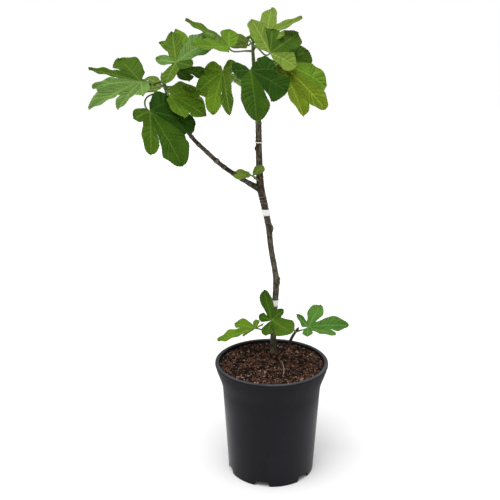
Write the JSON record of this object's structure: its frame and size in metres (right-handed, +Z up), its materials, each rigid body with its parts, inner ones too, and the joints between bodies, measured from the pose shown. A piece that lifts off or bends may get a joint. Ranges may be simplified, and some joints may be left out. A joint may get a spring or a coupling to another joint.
{
  "type": "fig tree in a pot",
  "caption": "Young fig tree with large lobed leaves on a kneed trunk with one long left bough, in a flared black nursery pot filled with compost",
  "frame": {"origin": "The middle of the pot's flat underside, on the surface that it stands on", "axes": "+Z up along the height of the tree, -Y towards the viewer of the picture, +X to that viewer's right"},
  "size_m": [0.4965, 0.2601, 0.9105],
  "materials": {
    "black_plastic": "black moulded plastic with a soft sheen",
    "compost": "coarse brown bark compost",
    "trunk_bark": "grey-brown bark with ring scars",
    "bough_bark": "dark grey-brown bark",
    "white_tape": "white stretch film",
    "fig_leaf": "green leaf, deeper on its upper face"
  },
  "bodies": {
    "root": {"pot": "black_plastic", "soil": "compost", "trunk": "trunk_bark", "left_bough": "bough_bark", "lower_band": "white_tape", "upper_band": "white_tape", "fine_tie": "white_tape", "bough_foliage": "fig_leaf", "top_foliage": "fig_leaf", "right_foliage": "fig_leaf", "front_foliage": "fig_leaf", "left_foliage": "fig_leaf", "fork_sprout": "fig_leaf", "left_basal_shoot": "fig_leaf", "right_basal_shoot": "fig_leaf"}
  },
  "joints": []
}
